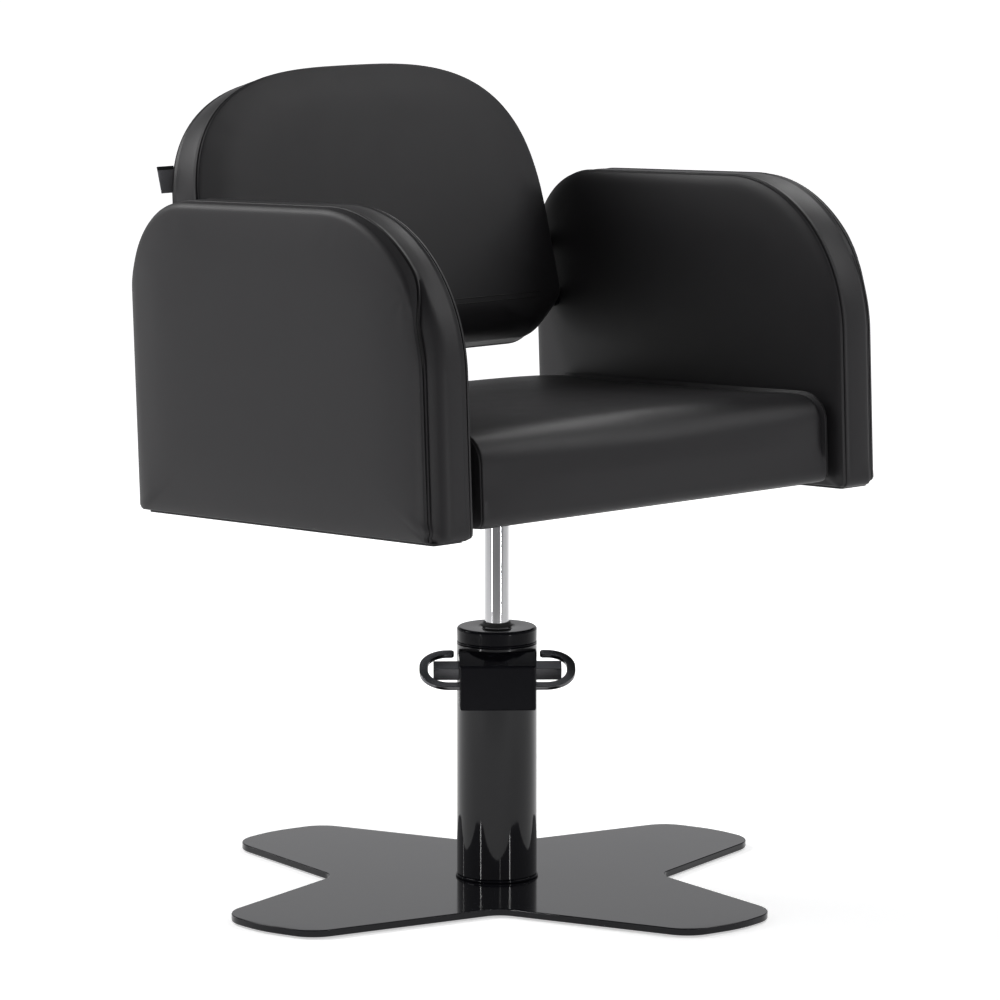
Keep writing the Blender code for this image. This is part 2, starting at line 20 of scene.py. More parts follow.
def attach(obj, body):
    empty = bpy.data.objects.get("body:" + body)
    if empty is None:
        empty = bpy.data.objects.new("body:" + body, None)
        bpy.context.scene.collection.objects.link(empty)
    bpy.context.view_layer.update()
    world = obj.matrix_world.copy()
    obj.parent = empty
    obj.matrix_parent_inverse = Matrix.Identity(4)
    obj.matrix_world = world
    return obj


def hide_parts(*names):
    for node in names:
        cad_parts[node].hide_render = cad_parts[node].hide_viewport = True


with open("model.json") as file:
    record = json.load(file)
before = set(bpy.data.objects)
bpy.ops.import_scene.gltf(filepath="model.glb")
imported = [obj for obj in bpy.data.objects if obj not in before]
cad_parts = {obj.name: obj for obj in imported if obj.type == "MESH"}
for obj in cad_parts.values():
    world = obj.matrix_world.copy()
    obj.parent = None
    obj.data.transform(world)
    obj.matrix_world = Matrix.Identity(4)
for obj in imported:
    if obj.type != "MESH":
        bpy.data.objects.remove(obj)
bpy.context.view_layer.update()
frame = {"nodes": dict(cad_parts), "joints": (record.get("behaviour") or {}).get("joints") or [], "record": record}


# ------------------------------------------------------------ unit axes
def corners_in(node, axes=Matrix.Identity(4)):
    """Lowest and highest corner of a node, measured in the given axes."""
    back = axes.inverted()
    points = np.array([back @ v.co for v in frame["nodes"][node].data.vertices])
    return Vector(points.min(0)), Vector(points.max(0))


def main_face_slope(node):
    """Angle about X by which a slab's widest faces lean from upright."""
    face = max(frame["nodes"][node].data.polygons, key=lambda p: p.area)
    normal = face.normal if face.normal.y < 0 else -face.normal
    return atan2(normal.z, -normal.y)


def seat_axes():
    """Axes of the leaning seat unit; Z = 0 is the soles of its arms."""
    points = sorted((v.co.y, v.co.z) for v in frame["nodes"]["seat_board"].data.vertices)
    front = min(points[: len(points) // 4], key=lambda p: p[1])
    rear = min(points[-(len(points) // 4):], key=lambda p: p[1])
    turn = Matrix.Rotation(-atan2(front[1] - rear[1], rear[0] - front[0]), 4, "X")
    sole = corners_in("arm_outer_pad_left", turn)[0].z
    return Matrix.Translation((0, 0, sole / turn[2][2])) @ turn


SEAT = seat_axes()
SEAT_LEAN = atan2(SEAT[1][2], SEAT[2][2])
BACK_LEAN = main_face_slope("back_board") - SEAT_LEAN
_turned = SEAT @ Matrix.Rotation(-BACK_LEAN, 4, "X")
_low = corners_in("back_front_pad", _turned)[0]
BACK = _turned @ Matrix.Translation((0, _low.y, _low.z))

joints = {j["name"]: j for j in frame["joints"]}
PEDAL_AXIS = Vector(joints["pedal_pivot"]["axis"])
PEDAL_POINT = Vector(joints["pedal_pivot"]["pos_m"])
BASE = Matrix.Rotation(atan2(PEDAL_AXIS.y, PEDAL_AXIS.x), 4, "Z")
PEDAL_SLOPE = radians(24)
PEDAL = BASE @ Matrix.Translation(BASE.inverted() @ PEDAL_POINT) @ Matrix.Rotation(PEDAL_SLOPE, 4, "X")


# ------------------------------------------------------------ shader maths
class Wire:
    """A node's output that can be written in sums and products."""

    def __init__(self, finish, socket):
        self.finish = finish
        self.socket = socket

    def maths(self, operation, *values):
        return self.finish.node("ShaderNodeMath", {"operation": operation}, *values)

    def __add__(self, other):
        return self.maths("ADD", self, other)

    __radd__ = __add__

    def __sub__(self, other):
        return self.maths("SUBTRACT", self, other)

    def __rsub__(self, other):
        return self.maths("SUBTRACT", other, self)

    def __mul__(self, other):
        return self.maths("MULTIPLY", self, other)

    __rmul__ = __mul__

    def __truediv__(self, other):
        return self.maths("DIVIDE", self, other)

    def clamped(self):
        return self.maths("MINIMUM", self.maths("MAXIMUM", self, 0.0), 1.0)

    def output(self, name):
        return Wire(self.finish, self.socket.node.outputs[name])


class Nodes:
    """A node tree whose nodes are added by node() and joined by Wires."""

    def __init__(self, tree):
        self.tree = tree

    def give(self, socket, value):
        if isinstance(value, Wire):
            self.tree.links.new(value.socket, socket)
        elif value is not None:
            socket.default_value = value

    def node(self, kind, settings, *inputs, **named):
        """Add a node: its settings first, then its sockets in order or by name."""
        made = self.tree.nodes.new(kind)
        for key, value in settings.items():
            setattr(made, key, value)
        for socket, value in zip(made.inputs, inputs):
            self.give(socket, value)
        for key, value in named.items():
            self.give(made.inputs[key.replace("_", " ")], value)
        return Wire(self, made.outputs[0])


class Finish(Nodes):
    """A material with one Principled shader."""

    def __init__(self, name, **uniform):
        self.material = bpy.data.materials.new(name)
        self.material.use_nodes = True
        super().__init__(self.material.node_tree)
        self.shader = self.tree.nodes["Principled BSDF"]
        for key, value in uniform.items():
            self.shader.inputs[key.replace("_", " ")].default_value = value

    def place(self):
        """Where the point is, in the piece's own space."""
        return self.node("ShaderNodeTexCoord", {}).output("Object")

    def stretched(self, scale):
        return self.node("ShaderNodeMapping", {}, Vector=self.place(), Scale=scale)

    def noise(self, scale, detail=3.0, where=None, roughness=0.5):
        return self.node("ShaderNodeTexNoise", {}, Vector=where or self.place(), Scale=scale,
                         Detail=detail, Roughness=roughness)

    def cells(self, scale, feature="F1"):
        return self.node("ShaderNodeTexVoronoi", {"feature": feature}, Vector=self.place(), Scale=scale)

    def between(self, factor, low, high):
        """Blend of two colours."""
        made = self.node("ShaderNodeMix", {"data_type": "RGBA"})
        node = made.socket.node
        self.give(node.inputs[0], factor)
        self.give(node.inputs[6], (*low, 1.0))
        self.give(node.inputs[7], (*high, 1.0))
        return Wire(self, node.outputs[2])

    def colour(self, value):
        self.give(self.shader.inputs["Base Color"], value)

    def roughness(self, value):
        self.give(self.shader.inputs["Roughness"], value)

    def bump(self, height, distance, strength=1.0):
        raised = self.node("ShaderNodeBump", {}, Strength=strength, Distance=distance, Height=height)
        self.give(self.shader.inputs["Normal"], raised)


# --------------------------------------------------------------- finishes
def leather(name, dark, light, sheen=0.0):
    """Smooth synthetic leather: a fine pebble grain with tiny pores."""
    made = Finish(name, Specular_IOR_Level=0.24, Sheen_Weight=sheen, Sheen_Roughness=0.4)
    broad = made.noise(5.0, 2.0)
    pebbles = made.cells(760.0, "DISTANCE_TO_EDGE")
    pores = made.noise(1900.0, 2.0)
    worn = made.noise(38.0, 4.0, roughness=0.6)
    tone = (broad * 0.7 + worn * 0.3).clamped()
    made.colour(made.between(tone, dark, light))
    made.roughness(0.45 + broad * 0.07 + (worn - 0.5) * 0.08 - pebbles * 0.05)
    made.bump(pebbles * 0.7 + pores * 0.3, 0.00022, 0.32)
    return made.material


GLOSS_DEEP, GLOSS_HAZED = (0.0030, 0.0030, 0.0040), (0.0054, 0.0054, 0.0072)


def gloss_paint(name, rough=0.06, coat=0.0, specular=0.08):
    """Deep black gloss paint with a faint orange peel."""
    made = Finish(name, Coat_Weight=coat, Coat_Roughness=0.03, Specular_IOR_Level=specular)
    peel = made.noise(95.0, 2.0)
    haze = made.noise(7.0, 3.0)
    dust = made.noise(900.0, 1.0)
    made.colour(made.between(haze, GLOSS_DEEP, GLOSS_HAZED))
    made.roughness(rough + haze * 0.05 + dust * 0.01)
    made.bump(peel, 0.00006, 0.25)
    return made.material


def smoked_chrome(name):
    """Dark see-your-face plating on the foot loop and its shaft."""
    made = Finish(name, Metallic=1.0)
    film = made.noise(16.0, 3.0)
    scuffs = made.noise(240.0, 2.0)
    made.colour(made.between(film, (0.085, 0.085, 0.090), (0.125, 0.125, 0.130)))
    made.roughness(0.14 + film * 0.06 + scuffs * 0.03)
    made.bump(scuffs, 0.00003, 0.2)
    return made.material


def polished_chrome(name):
    """Bright plating with faint lines drawn along the rod."""
    made = Finish(name, Metallic=1.0)
    along = made.stretched((1.0, 1.0, 0.02))
    drawn = made.noise(1500.0, 3.0, where=along)
    film = made.noise(14.0, 3.0)
    made.colour(made.between(film, (0.38, 0.38, 0.39), (0.45, 0.45, 0.46)))
    made.roughness(0.025 + film * 0.02 + drawn * 0.01)
    made.bump(drawn, 0.00001, 0.15)
    return made.material


def zinc_plate(name):
    """Dull crystalline zinc on the hidden steel."""
    made = Finish(name, Metallic=1.0)
    crystals = made.cells(240.0)
    stain = made.noise(30.0, 4.0)
    made.colour(made.between(stain, (0.42, 0.43, 0.45), (0.60, 0.61, 0.63)))
    made.roughness(0.30 + stain * 0.14 + crystals * 0.05)
    made.bump(crystals, 0.00006, 0.3)
    return made.material


def turned_bronze(name):
    """Bushes with fine turning rings."""
    made = Finish(name, Metallic=1.0)
    rings = made.noise(700.0, 2.0, where=made.stretched((0.1, 0.1, 1.0)))
    made.colour(made.between(rings, (0.50, 0.34, 0.14), (0.66, 0.48, 0.22)))
    made.roughness(0.26 + rings * 0.12)
    made.bump(rings, 0.00004, 0.3)
    return made.material


def plywood(name):
    """Birch boards inside the upholstery."""
    made = Finish(name)
    figure = made.noise(60.0, 5.0, where=made.stretched((6.0, 0.5, 14.0)))
    pores = made.noise(700.0, 2.0, where=made.stretched((1.0, 0.08, 1.0)))
    made.colour(made.between(figure, (0.34, 0.22, 0.12), (0.58, 0.43, 0.27)))
    made.roughness(0.55 + pores * 0.15)
    made.bump(figure * 0.5 + pores * 0.5, 0.0002, 0.4)
    return made.material


def moulded_rubber(name):
    """Matt black seals and glides."""
    made = Finish(name, Specular_IOR_Level=0.35)
    speck = made.noise(600.0, 3.0)
    bloom = made.noise(22.0, 3.0)
    made.colour(made.between(bloom, (0.009, 0.009, 0.009), (0.020, 0.020, 0.020)))
    made.roughness(0.55 + bloom * 0.12)
    made.bump(speck, 0.00008, 0.4)
    return made.material


def woven_tag(name):
    """Narrow grey woven ribbon: two sets of threads over and under."""
    made = Finish(name, Sheen_Weight=0.25)
    warp = made.node("ShaderNodeTexWave", {"bands_direction": "Z"}, Vector=made.place(), Scale=420.0,
                     Distortion=0.6)
    weft = made.node("ShaderNodeTexWave", {"bands_direction": "X"}, Vector=made.place(), Scale=420.0,
                     Distortion=0.6)
    threads = warp * weft
    made.colour(made.between(threads, (0.15, 0.15, 0.16), (0.34, 0.34, 0.36)))
    made.roughness(0.78 + threads * 0.1)
    made.bump(threads, 0.0002, 0.6)
    return made.material


def felt_lining(name):
    """Black non-woven cloth stapled under the upholstery."""
    made = Finish(name, Sheen_Weight=0.1)
    fibres = made.noise(420.0, 5.0, roughness=0.7)
    dimples = made.cells(300.0)
    made.colour(made.between(fibres, (0.008, 0.008, 0.009), (0.022, 0.022, 0.023)))
    made.roughness(0.85 + fibres * 0.08)
    made.bump(fibres * 0.5 + dimples * 0.5, 0.0003, 0.5)
    return made.material


LEATHER = leather("leather_panels", (0.0112, 0.0106, 0.0117), (0.0162, 0.0154, 0.0168), sheen=0.02)
WELT = leather("leather_welt", (0.007, 0.007, 0.007), (0.012, 0.012, 0.012))
GLOSS = gloss_paint("gloss_black")
PLATE_GLOSS = gloss_paint("gloss_black_plate", rough=0.08, coat=0.10, specular=0.17)
COLUMN_GLOSS = gloss_paint("gloss_black_column", rough=0.035, specular=0.32)
SMOKED = smoked_chrome("smoked_chrome")
CHROME = polished_chrome("chrome")
ZINC = zinc_plate("zinc_plate")
BRONZE = turned_bronze("bronze")
PLY = plywood("plywood")
RUBBER = moulded_rubber("rubber")
TAG = woven_tag("woven_tag")
LINING = felt_lining("lining")

SLOT_FINISH = {"gloss_black": GLOSS, "black_leather": LEATHER, "chrome_rod": CHROME,
               "zinc_steel": ZINC, "plywood": PLY, "black_rubber": RUBBER,
               "bronze_bush": BRONZE, "grey_tag": TAG}


def finish_frame_nodes():
    """Every node kept from the frame takes the finish of its slot."""
    for row in frame["record"]["subparts"]:
        mesh = frame["nodes"][row["node"]].data
        mesh.materials.clear()
        mesh.materials.append(SLOT_FINISH[row["material_slot"]])


finish_frame_nodes()


# ------------------------------------------------------------ mesh helpers
def put(name, mesh, finish, body, nodes=(), axes=None, angle=40, hard=True):
    """Show a mesh as a piece of the chair that rides on a body."""
    if axes is not None:
        mesh.transform(axes)
    mesh.name = name
    mesh.materials.clear()
    mesh.materials.append(finish)
    mesh.shade_smooth()
    mesh.set_sharp_from_angle(angle=radians(angle))
    piece = bpy.data.objects.new(name, mesh)
    bpy.context.scene.collection.objects.link(piece)
    if hard:                              # large flat faces keep their own normals
        weighted = piece.modifiers.new("normals", "WEIGHTED_NORMAL")
        weighted.keep_sharp = True
        weighted.weight = 80
    if nodes:
        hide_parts(*nodes)
    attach(piece, body)
    return piece


def baked(obj):
    """The object's mesh with its modifiers applied; the object goes."""
    bpy.context.view_layer.update()
    graph = bpy.context.evaluated_depsgraph_get()
    mesh = bpy.data.meshes.new_from_object(obj.evaluated_get(graph))
    bpy.data.objects.remove(obj, do_unlink=True)
    return mesh


def loose(mesh):
    """A passing object to work on a mesh with modifiers."""
    obj = bpy.data.objects.new("making", mesh)
    bpy.context.scene.collection.objects.link(obj)
    return obj


def turned(profile, steps=128):
    """Mesh turned about Z from a closed (radius, height) profile."""
    count = len(profile)
    area = sum(profile[i - 1][0] * z - r * profile[i - 1][1] for i, (r, z) in enumerate(profile))
    if area > 0:
        profile = profile[::-1]
    mesh = bpy.data.meshes.new("turning")
    mesh.from_pydata([(r, 0, z) for r, z in profile],
                     [(i, (i + 1) % count) for i in range(count)], [])
    obj = loose(mesh)
    screw = obj.modifiers.new("turn", "SCREW")
    screw.steps = steps
    screw.render_steps = steps
    screw.use_merge_vertices = True
    screw.merge_threshold = 0.00001
    return baked(obj)


def arc(centre, radius, start, end, steps=6):
    """Points on an arc, angles in degrees."""
    return [(centre[0] + radius * cos(radians(start + (end - start) * i / steps)),
             centre[1] + radius * sin(radians(start + (end - start) * i / steps)))
            for i in range(steps + 1)]


def rounded(corners, segments=8):
    """Outline through (x, y, radius) corners, each corner an arc."""
    points = []
    count = len(corners)
    for i, (x, y, radius) in enumerate(corners):
        here = Vector((x, y))
        if radius <= 0:
            points.append(here)
            continue
        before = (Vector(corners[i - 1][:2]) - here).normalized()
        after = (Vector(corners[(i + 1) % count][:2]) - here).normalized()
        half = before.angle(after) / 2
        centre = here + (before + after).normalized() * radius / sin(half)
        reach = radius * cos(half) / sin(half)
        first = here + before * reach - centre
        last = here + after * reach - centre
        start = atan2(first.y, first.x)
        sweep = (atan2(last.y, last.x) - start + pi) % (2 * pi) - pi
        for k in range(segments + 1):
            angle = start + sweep * k / segments
            points.append(centre + Vector((cos(angle), sin(angle))) * radius)
    return [(p.x, p.y) for p in points]


SIDE = Matrix(((0, 0, 1, 0), (1, 0, 0, 0), (0, 1, 0, 0), (0, 0, 0, 1)))     # (u, v, w) is (y, z, x)


def slab(outline, low, high, edge, frame_turn=None):
    """Filled outline with a thickness and a rounded edge, as a mesh."""
    curve = bpy.data.curves.new("outline", "CURVE")
    curve.dimensions = "2D"
    curve.fill_mode = "BOTH"
    curve.extrude = (high - low) / 2 - edge
    curve.bevel_depth = edge
    curve.bevel_resolution = 3
    curve.offset = -edge
    spline = curve.splines.new("POLY")
    spline.points.add(len(outline) - 1)
    for point, (x, y) in zip(spline.points, outline):
        point.co = (x, y, 0, 1)
    spline.use_cyclic_u = True
    shape = bpy.data.objects.new("outline", curve)
    bpy.context.scene.collection.objects.link(shape)
    mesh = baked(shape)
    bm = bmesh.new()
    bm.from_mesh(mesh)
    bmesh.ops.remove_doubles(bm, verts=bm.verts, dist=0.00001)
    bmesh.ops.recalc_face_normals(bm, faces=bm.faces)
    bm.transform(Matrix.Translation((0, 0, (low + high) / 2)))
    if frame_turn is not None:
        bm.transform(frame_turn)
    bm.to_mesh(mesh)
    bm.free()
    return mesh


def box_between(low, high, edge=0.0):
    """Block between two corners, its edges rounded if asked."""
    low, high = Vector(low), Vector(high)
    bm = bmesh.new()
    bmesh.ops.create_cube(bm, size=1.0)
    bmesh.ops.scale(bm, vec=high - low, verts=bm.verts)
    bmesh.ops.translate(bm, vec=(low + high) / 2, verts=bm.verts)
    if edge:
        bmesh.ops.bevel(bm, geom=bm.edges[:], offset=edge, segments=3, profile=0.5, affect="EDGES")
    mesh = bpy.data.meshes.new("block")
    bm.to_mesh(mesh)
    bm.free()
    return mesh


def joined(mesh, *others, operation="UNION"):
    """Boolean of a mesh with others, applied."""
    obj = loose(mesh)
    tools = [loose(other) for other in others]
    for tool in tools:
        join = obj.modifiers.new("join", "BOOLEAN")
        join.object = tool
        join.operation = operation
        join.solver = "EXACT"
    result = baked(obj)
    for tool in tools:
        bpy.data.objects.remove(tool, do_unlink=True)
    return result


def softened(mesh, width):
    """Round the sharp edges of a mesh."""
    obj = loose(mesh)
    bevel = obj.modifiers.new("edges", "BEVEL")
    bevel.width = width
    bevel.segments = 5
    bevel.limit_method = "ANGLE"
    bevel.angle_limit = radians(30)
    return baked(obj)


CLEARANCE = 0.0003                # gap between pieces that fit in each other


def outer_radius(node):
    """Radius of a turned node about the lift axis."""
    low, high = corners_in(node)
    return (high.x - low.x) / 2


# ------------------------------------------------------------------- base
TIP_LONG, TIP_SHORT, TIP_R, TIP_BULGE, BOW_R = 0.3100, 0.2080, 0.042, 0.0122, 0.15
NOTCH, NOTCH_R, PLATE_DEPTH = 0.187, 0.030, 0.868
PLATE_EDGE, COLUMN_WALL, WINDOW_HALF = 0.0011, 0.0028, 0.044


def base_outline():
    """Four arms with V notches between them; arm ends bow outwards."""
    corners = []
    bow = (TIP_LONG + TIP_SHORT) / 2 ** 0.5 + TIP_BULGE
    for quarter in range(4):
        turn = quarter * pi / 2
        local = [(NOTCH, 0.0, NOTCH_R), (TIP_LONG, TIP_SHORT, TIP_R),
                 (bow * cos(pi / 4), bow * sin(pi / 4), BOW_R), (TIP_SHORT, TIP_LONG, TIP_R)]
        for x, y, radius in local:
            corners.append((x * cos(turn) - y * sin(turn),
                            (x * sin(turn) + y * cos(turn)) * PLATE_DEPTH, radius))
    return rounded(corners, segments=10)


def make_base_plate():
    low, high = corners_in("base_plate")
    mesh = slab(base_outline(), low.z, high.z, PLATE_EDGE)
    put("base_plate_coated", mesh, PLATE_GLOSS, "base", ["base_plate"], BASE)


def ring_profile(outer, inner, low, high, edge):
    """Turned ring whose outer edges are rounded."""
    return (arc((outer - edge, high - edge), edge, 90, 0) + arc((outer - edge, low + edge), edge, 0, -90)
            + [(inner, low), (inner, high)])


def make_column():
    """Tube with a window for the pedal's bracket, and the ring round its foot."""
    low, high = corners_in("column_tube")
    radius = outer_radius("column_tube")
    inside = radius - COLUMN_WALL
    mesh = turned(ring_profile(radius, inside, low.z, high.z, 0.0008), 160)
    window = box_between((-WINDOW_HALF, -0.060, 0.2255), (WINDOW_HALF, -0.0190, 0.2765))
    mesh = joined(mesh, window, operation="DIFFERENCE")
    put("column_coated", mesh, COLUMN_GLOSS, "base", ["column_tube"], BASE, angle=30)

    low, high = corners_in("foot_ring")
    mesh = turned(ring_profile(outer_radius("foot_ring"), inside, low.z, high.z, 0.0009), 160)
    put("foot_ring_coated", mesh, GLOSS, "base", ["foot_ring"], BASE)


def make_cap():
    """Cap with a rolled top edge, a dished land round the rod and a bead below."""
    low, high = corners_in("pump_cap")
    radius = outer_radius("pump_cap")
    rod = outer_radius("piston_rod") + CLEARANCE
    top, foot = high.z, low.z
    profile = ([(rod, top - 0.0012), (rod + 0.006, top - 0.0012), (rod + 0.008, top)]
               + arc((radius - 0.0035, top - 0.0035), 0.0035, 90, 0, 8)
               + arc((radius - 0.0012, foot + 0.0034), 0.0010, 0, -90, 4)
               + arc((radius - 0.0012, foot + 0.0012), 0.0012, 90, -90, 6)
               + [(rod, foot)])
    put("cap_coated", turned(profile, 160), GLOSS, "base", ["pump_cap"], BASE)


def make_rod():
    """Polished rod and the lip seal it slides through."""
    low, high = corners_in("piston_rod")
    radius = outer_radius("piston_rod")
    profile = arc((radius - 0.0012, high.z - 0.0012), 0.0012, 90, 0) + [(radius, low.z), (0, low.z),
                                                                      (0, high.z)]
    put("rod_polished", turned(profile, 128), CHROME, "piston", ["piston_rod"])
    low, high = corners_in("rod_seal")
    outer = outer_radius("rod_seal")
    inner = radius + CLEARANCE
    profile = [(inner, low.z), (outer, low.z), (outer, low.z + 0.0012), (outer - 0.0015, low.z + 0.0022),
               (inner + 0.0016, high.z - 0.0002), (inner + 0.0008, high.z), (inner, high.z - 0.0008)]
    put("seal_lip", turned(profile, 96), RUBBER, "base", ["rod_seal"], BASE)


COVER_FRONT, COVER_BEND, COVER_BACK = -0.072, -0.046, -0.020
COVER_CREASE = 0.2675
COVER_HALF, COVER_HALF_FRONT, COVER_T = 0.0445, 0.0432, 0.0015
COVER_EDGE = 0.0024


def cover_form(front, back, low, crease, top, half, half_front):
    """Box with a sloping front top edge, narrower at the front."""
    outline = [(front, low), (back, low), (back, top), (COVER_BEND, top), (front, crease)]
    mesh = slab(outline, -half, half, 0.0, SIDE)
    for vert in mesh.vertices:
        reach = min(1.0, max(0.0, (COVER_BEND - vert.co.y) / (COVER_BEND - front)))
        vert.co.x *= 1.0 - reach * (1.0 - half_front / half)
    return mesh


def make_cover():
    """Hollow cover over the pedal's shaft, slotted for the shaft and the loop."""
    low, high = corners_in("front_cover", BASE)
    outer = cover_form(COVER_FRONT, COVER_BACK, low.z, COVER_CREASE, high.z, COVER_HALF,
                       COVER_HALF_FRONT)
    outer = softened(outer, COVER_EDGE)
    inner = cover_form(COVER_FRONT + COVER_T, COVER_BACK + 0.02, low.z - 0.01, COVER_CREASE - 0.0012,
                       high.z - COVER_T, COVER_HALF - COVER_T, COVER_HALF_FRONT - COVER_T)
    radius = outer_radius("column_tube")
    fit = turned([(radius + CLEARANCE, 0.19), (radius + CLEARANCE, 0.30), (0, 0.30), (0, 0.19)], 128)
    shaft_slot = box_between((-0.06, -0.0455, 0.20), (0.06, -0.010, 0.2695))
    loop_slot = box_between((-0.06, -0.0685, 0.20), (0.06, -0.0495, 0.2525))
    mesh = joined(outer, inner, fit, shaft_slot, loop_slot, operation="DIFFERENCE")
    put("cover_coated", mesh, GLOSS, "base", ["front_cover"], BASE, angle=25)


# ------------------------------------------------------------------ pedal
LOOP_HALF, LOOP_FRONT, LOOP_REAR = 0.084, 0.031, -0.033
LOOP_BAR, LOOP_T = 0.010, 0.005
SHAFT_SIDE, SHAFT_HALF, JOURNAL_R, JOURNAL_HALF = 0.016, 0.073, 0.006, 0.032


def loop_outline():
    """Outline of the C-shaped foot loop, bar width both sides of its line."""
    half = LOOP_BAR / 2
    outer, inner = LOOP_HALF + half, LOOP_HALF - half
    front, back = -LOOP_FRONT, -LOOP_REAR
    tip = 0.049
    outside = [(tip, back + half, 0.004), (outer, back + half, 0.032), (outer, front - half, 0.034),
               (-outer, front - half, 0.034), (-outer, back + half, 0.032), (-tip, back + half, 0.004)]
    inside = [(-tip, back - half, 0.004), (-inner, back - half, 0.022), (-inner, front + half, 0.024),
              (inner, front + half, 0.024), (inner, back - half, 0.022), (tip, back - half, 0.004)]
    return rounded(outside + inside, segments=10)


def make_pedal():
    """Foot loop, and the shaft with a round middle and square ends."""
    loop = slab(loop_outline(), -LOOP_T / 2, LOOP_T / 2, 0.0009)
    put("loop_coated", loop, SMOKED, "pedal", ["pedal_loop"], PEDAL)
    side = SHAFT_SIDE / 2
    journal = turned([(JOURNAL_R, -JOURNAL_HALF), (JOURNAL_R, JOURNAL_HALF), (0, JOURNAL_HALF),
                      (0, -JOURNAL_HALF)], 48)
    journal.transform(Matrix.Rotation(pi / 2, 4, "Y"))
    ends = [box_between((min(s * 0.0285, s * SHAFT_HALF), -side, -side),
                        (max(s * 0.0285, s * SHAFT_HALF), side, side), 0.0008) for s in (-1, 1)]
    put("shaft_coated", joined(journal, *ends), SMOKED, "pedal", ["pedal_shaft"], PEDAL)


# ---------------------------------------------------------------- seat hub
def make_hub():
    """Socket for the rod: a flange under the mount plate, a tube up through it."""
    low, high = corners_in("seat_hub")
    flange, tube_r, bush = outer_radius("seat_hub"), 0.026, 0.0173
    plate_low = corners_in("mount_plate", SEAT)[0].z
    blind_end = corners_in("piston_rod")[1].z + 0.003
    disc = turned([(0, 0.49), (flange, 0.49), *arc((flange - 0.001, low.z + 0.001), 0.001, 0, -90),
                   (0, low.z)], 96)
    above = box_between((-0.2, -0.2, plate_low - CLEARANCE), (0.2, 0.2, 0.2))
    above.transform(SEAT)
    disc = joined(disc, above, operation="DIFFERENCE")
    tube = turned([(tube_r, high.z - 0.001), (tube_r, low.z), (0, low.z), (0, high.z),
                   (tube_r - 0.001, high.z)], 96)
    bore = turned([(bush, blind_end), (bush, low.z - 0.01), (0, low.z - 0.01), (0, blind_end)], 96)
    mesh = joined(joined(disc, tube), bore, operation="DIFFERENCE")
    put("hub_plated", mesh, ZINC, "seat", ["seat_hub"])


make_base_plate()
make_column()
make_cap()
make_rod()
make_cover()
make_pedal()
make_hub()


# -------------------------------------------------------------- upholstery
FACE = Matrix(((1, 0, 0, 0), (0, 0, -1, 0), (0, 1, 0, 0), (0, 0, 0, 1)))


def even_outline(corners, spacing):
    """Closed outline at an even spacing, with the outward normal of each point."""
    points = np.array(corners + corners[:1])
    along = np.concatenate([[0], np.cumsum(np.hypot(*np.diff(points, axis=0).T))])
    count = int(along[-1] / spacing)
    at = np.linspace(0, along[-1], count, endpoint=False)
    ring = np.column_stack([np.interp(at, along, points[:, k]) for k in (0, 1)])
    tangent = np.roll(ring, -1, axis=0) - np.roll(ring, 1, axis=0)
    normal = np.column_stack([tangent[:, 1], -tangent[:, 0]])
    normal /= np.hypot(*normal.T)[:, None]
    area = np.sum(ring[:, 0] * np.roll(ring[:, 1], -1) - ring[:, 1] * np.roll(ring[:, 0], -1))
    return ring, normal if area > 0 else -normal


def facing_out(mesh):
    """Turn a closed mesh's faces outwards."""
    bm = bmesh.new()
    bm.from_mesh(mesh)
    bmesh.ops.recalc_face_normals(bm, faces=bm.faces)
    bm.to_mesh(mesh)
    bm.free()


def ease(x):
    """Smooth step from 0 at 0 to 1 at 1."""
    x = np.clip(x, 0.0, 1.0)
    return x * x * (3 - 2 * x)


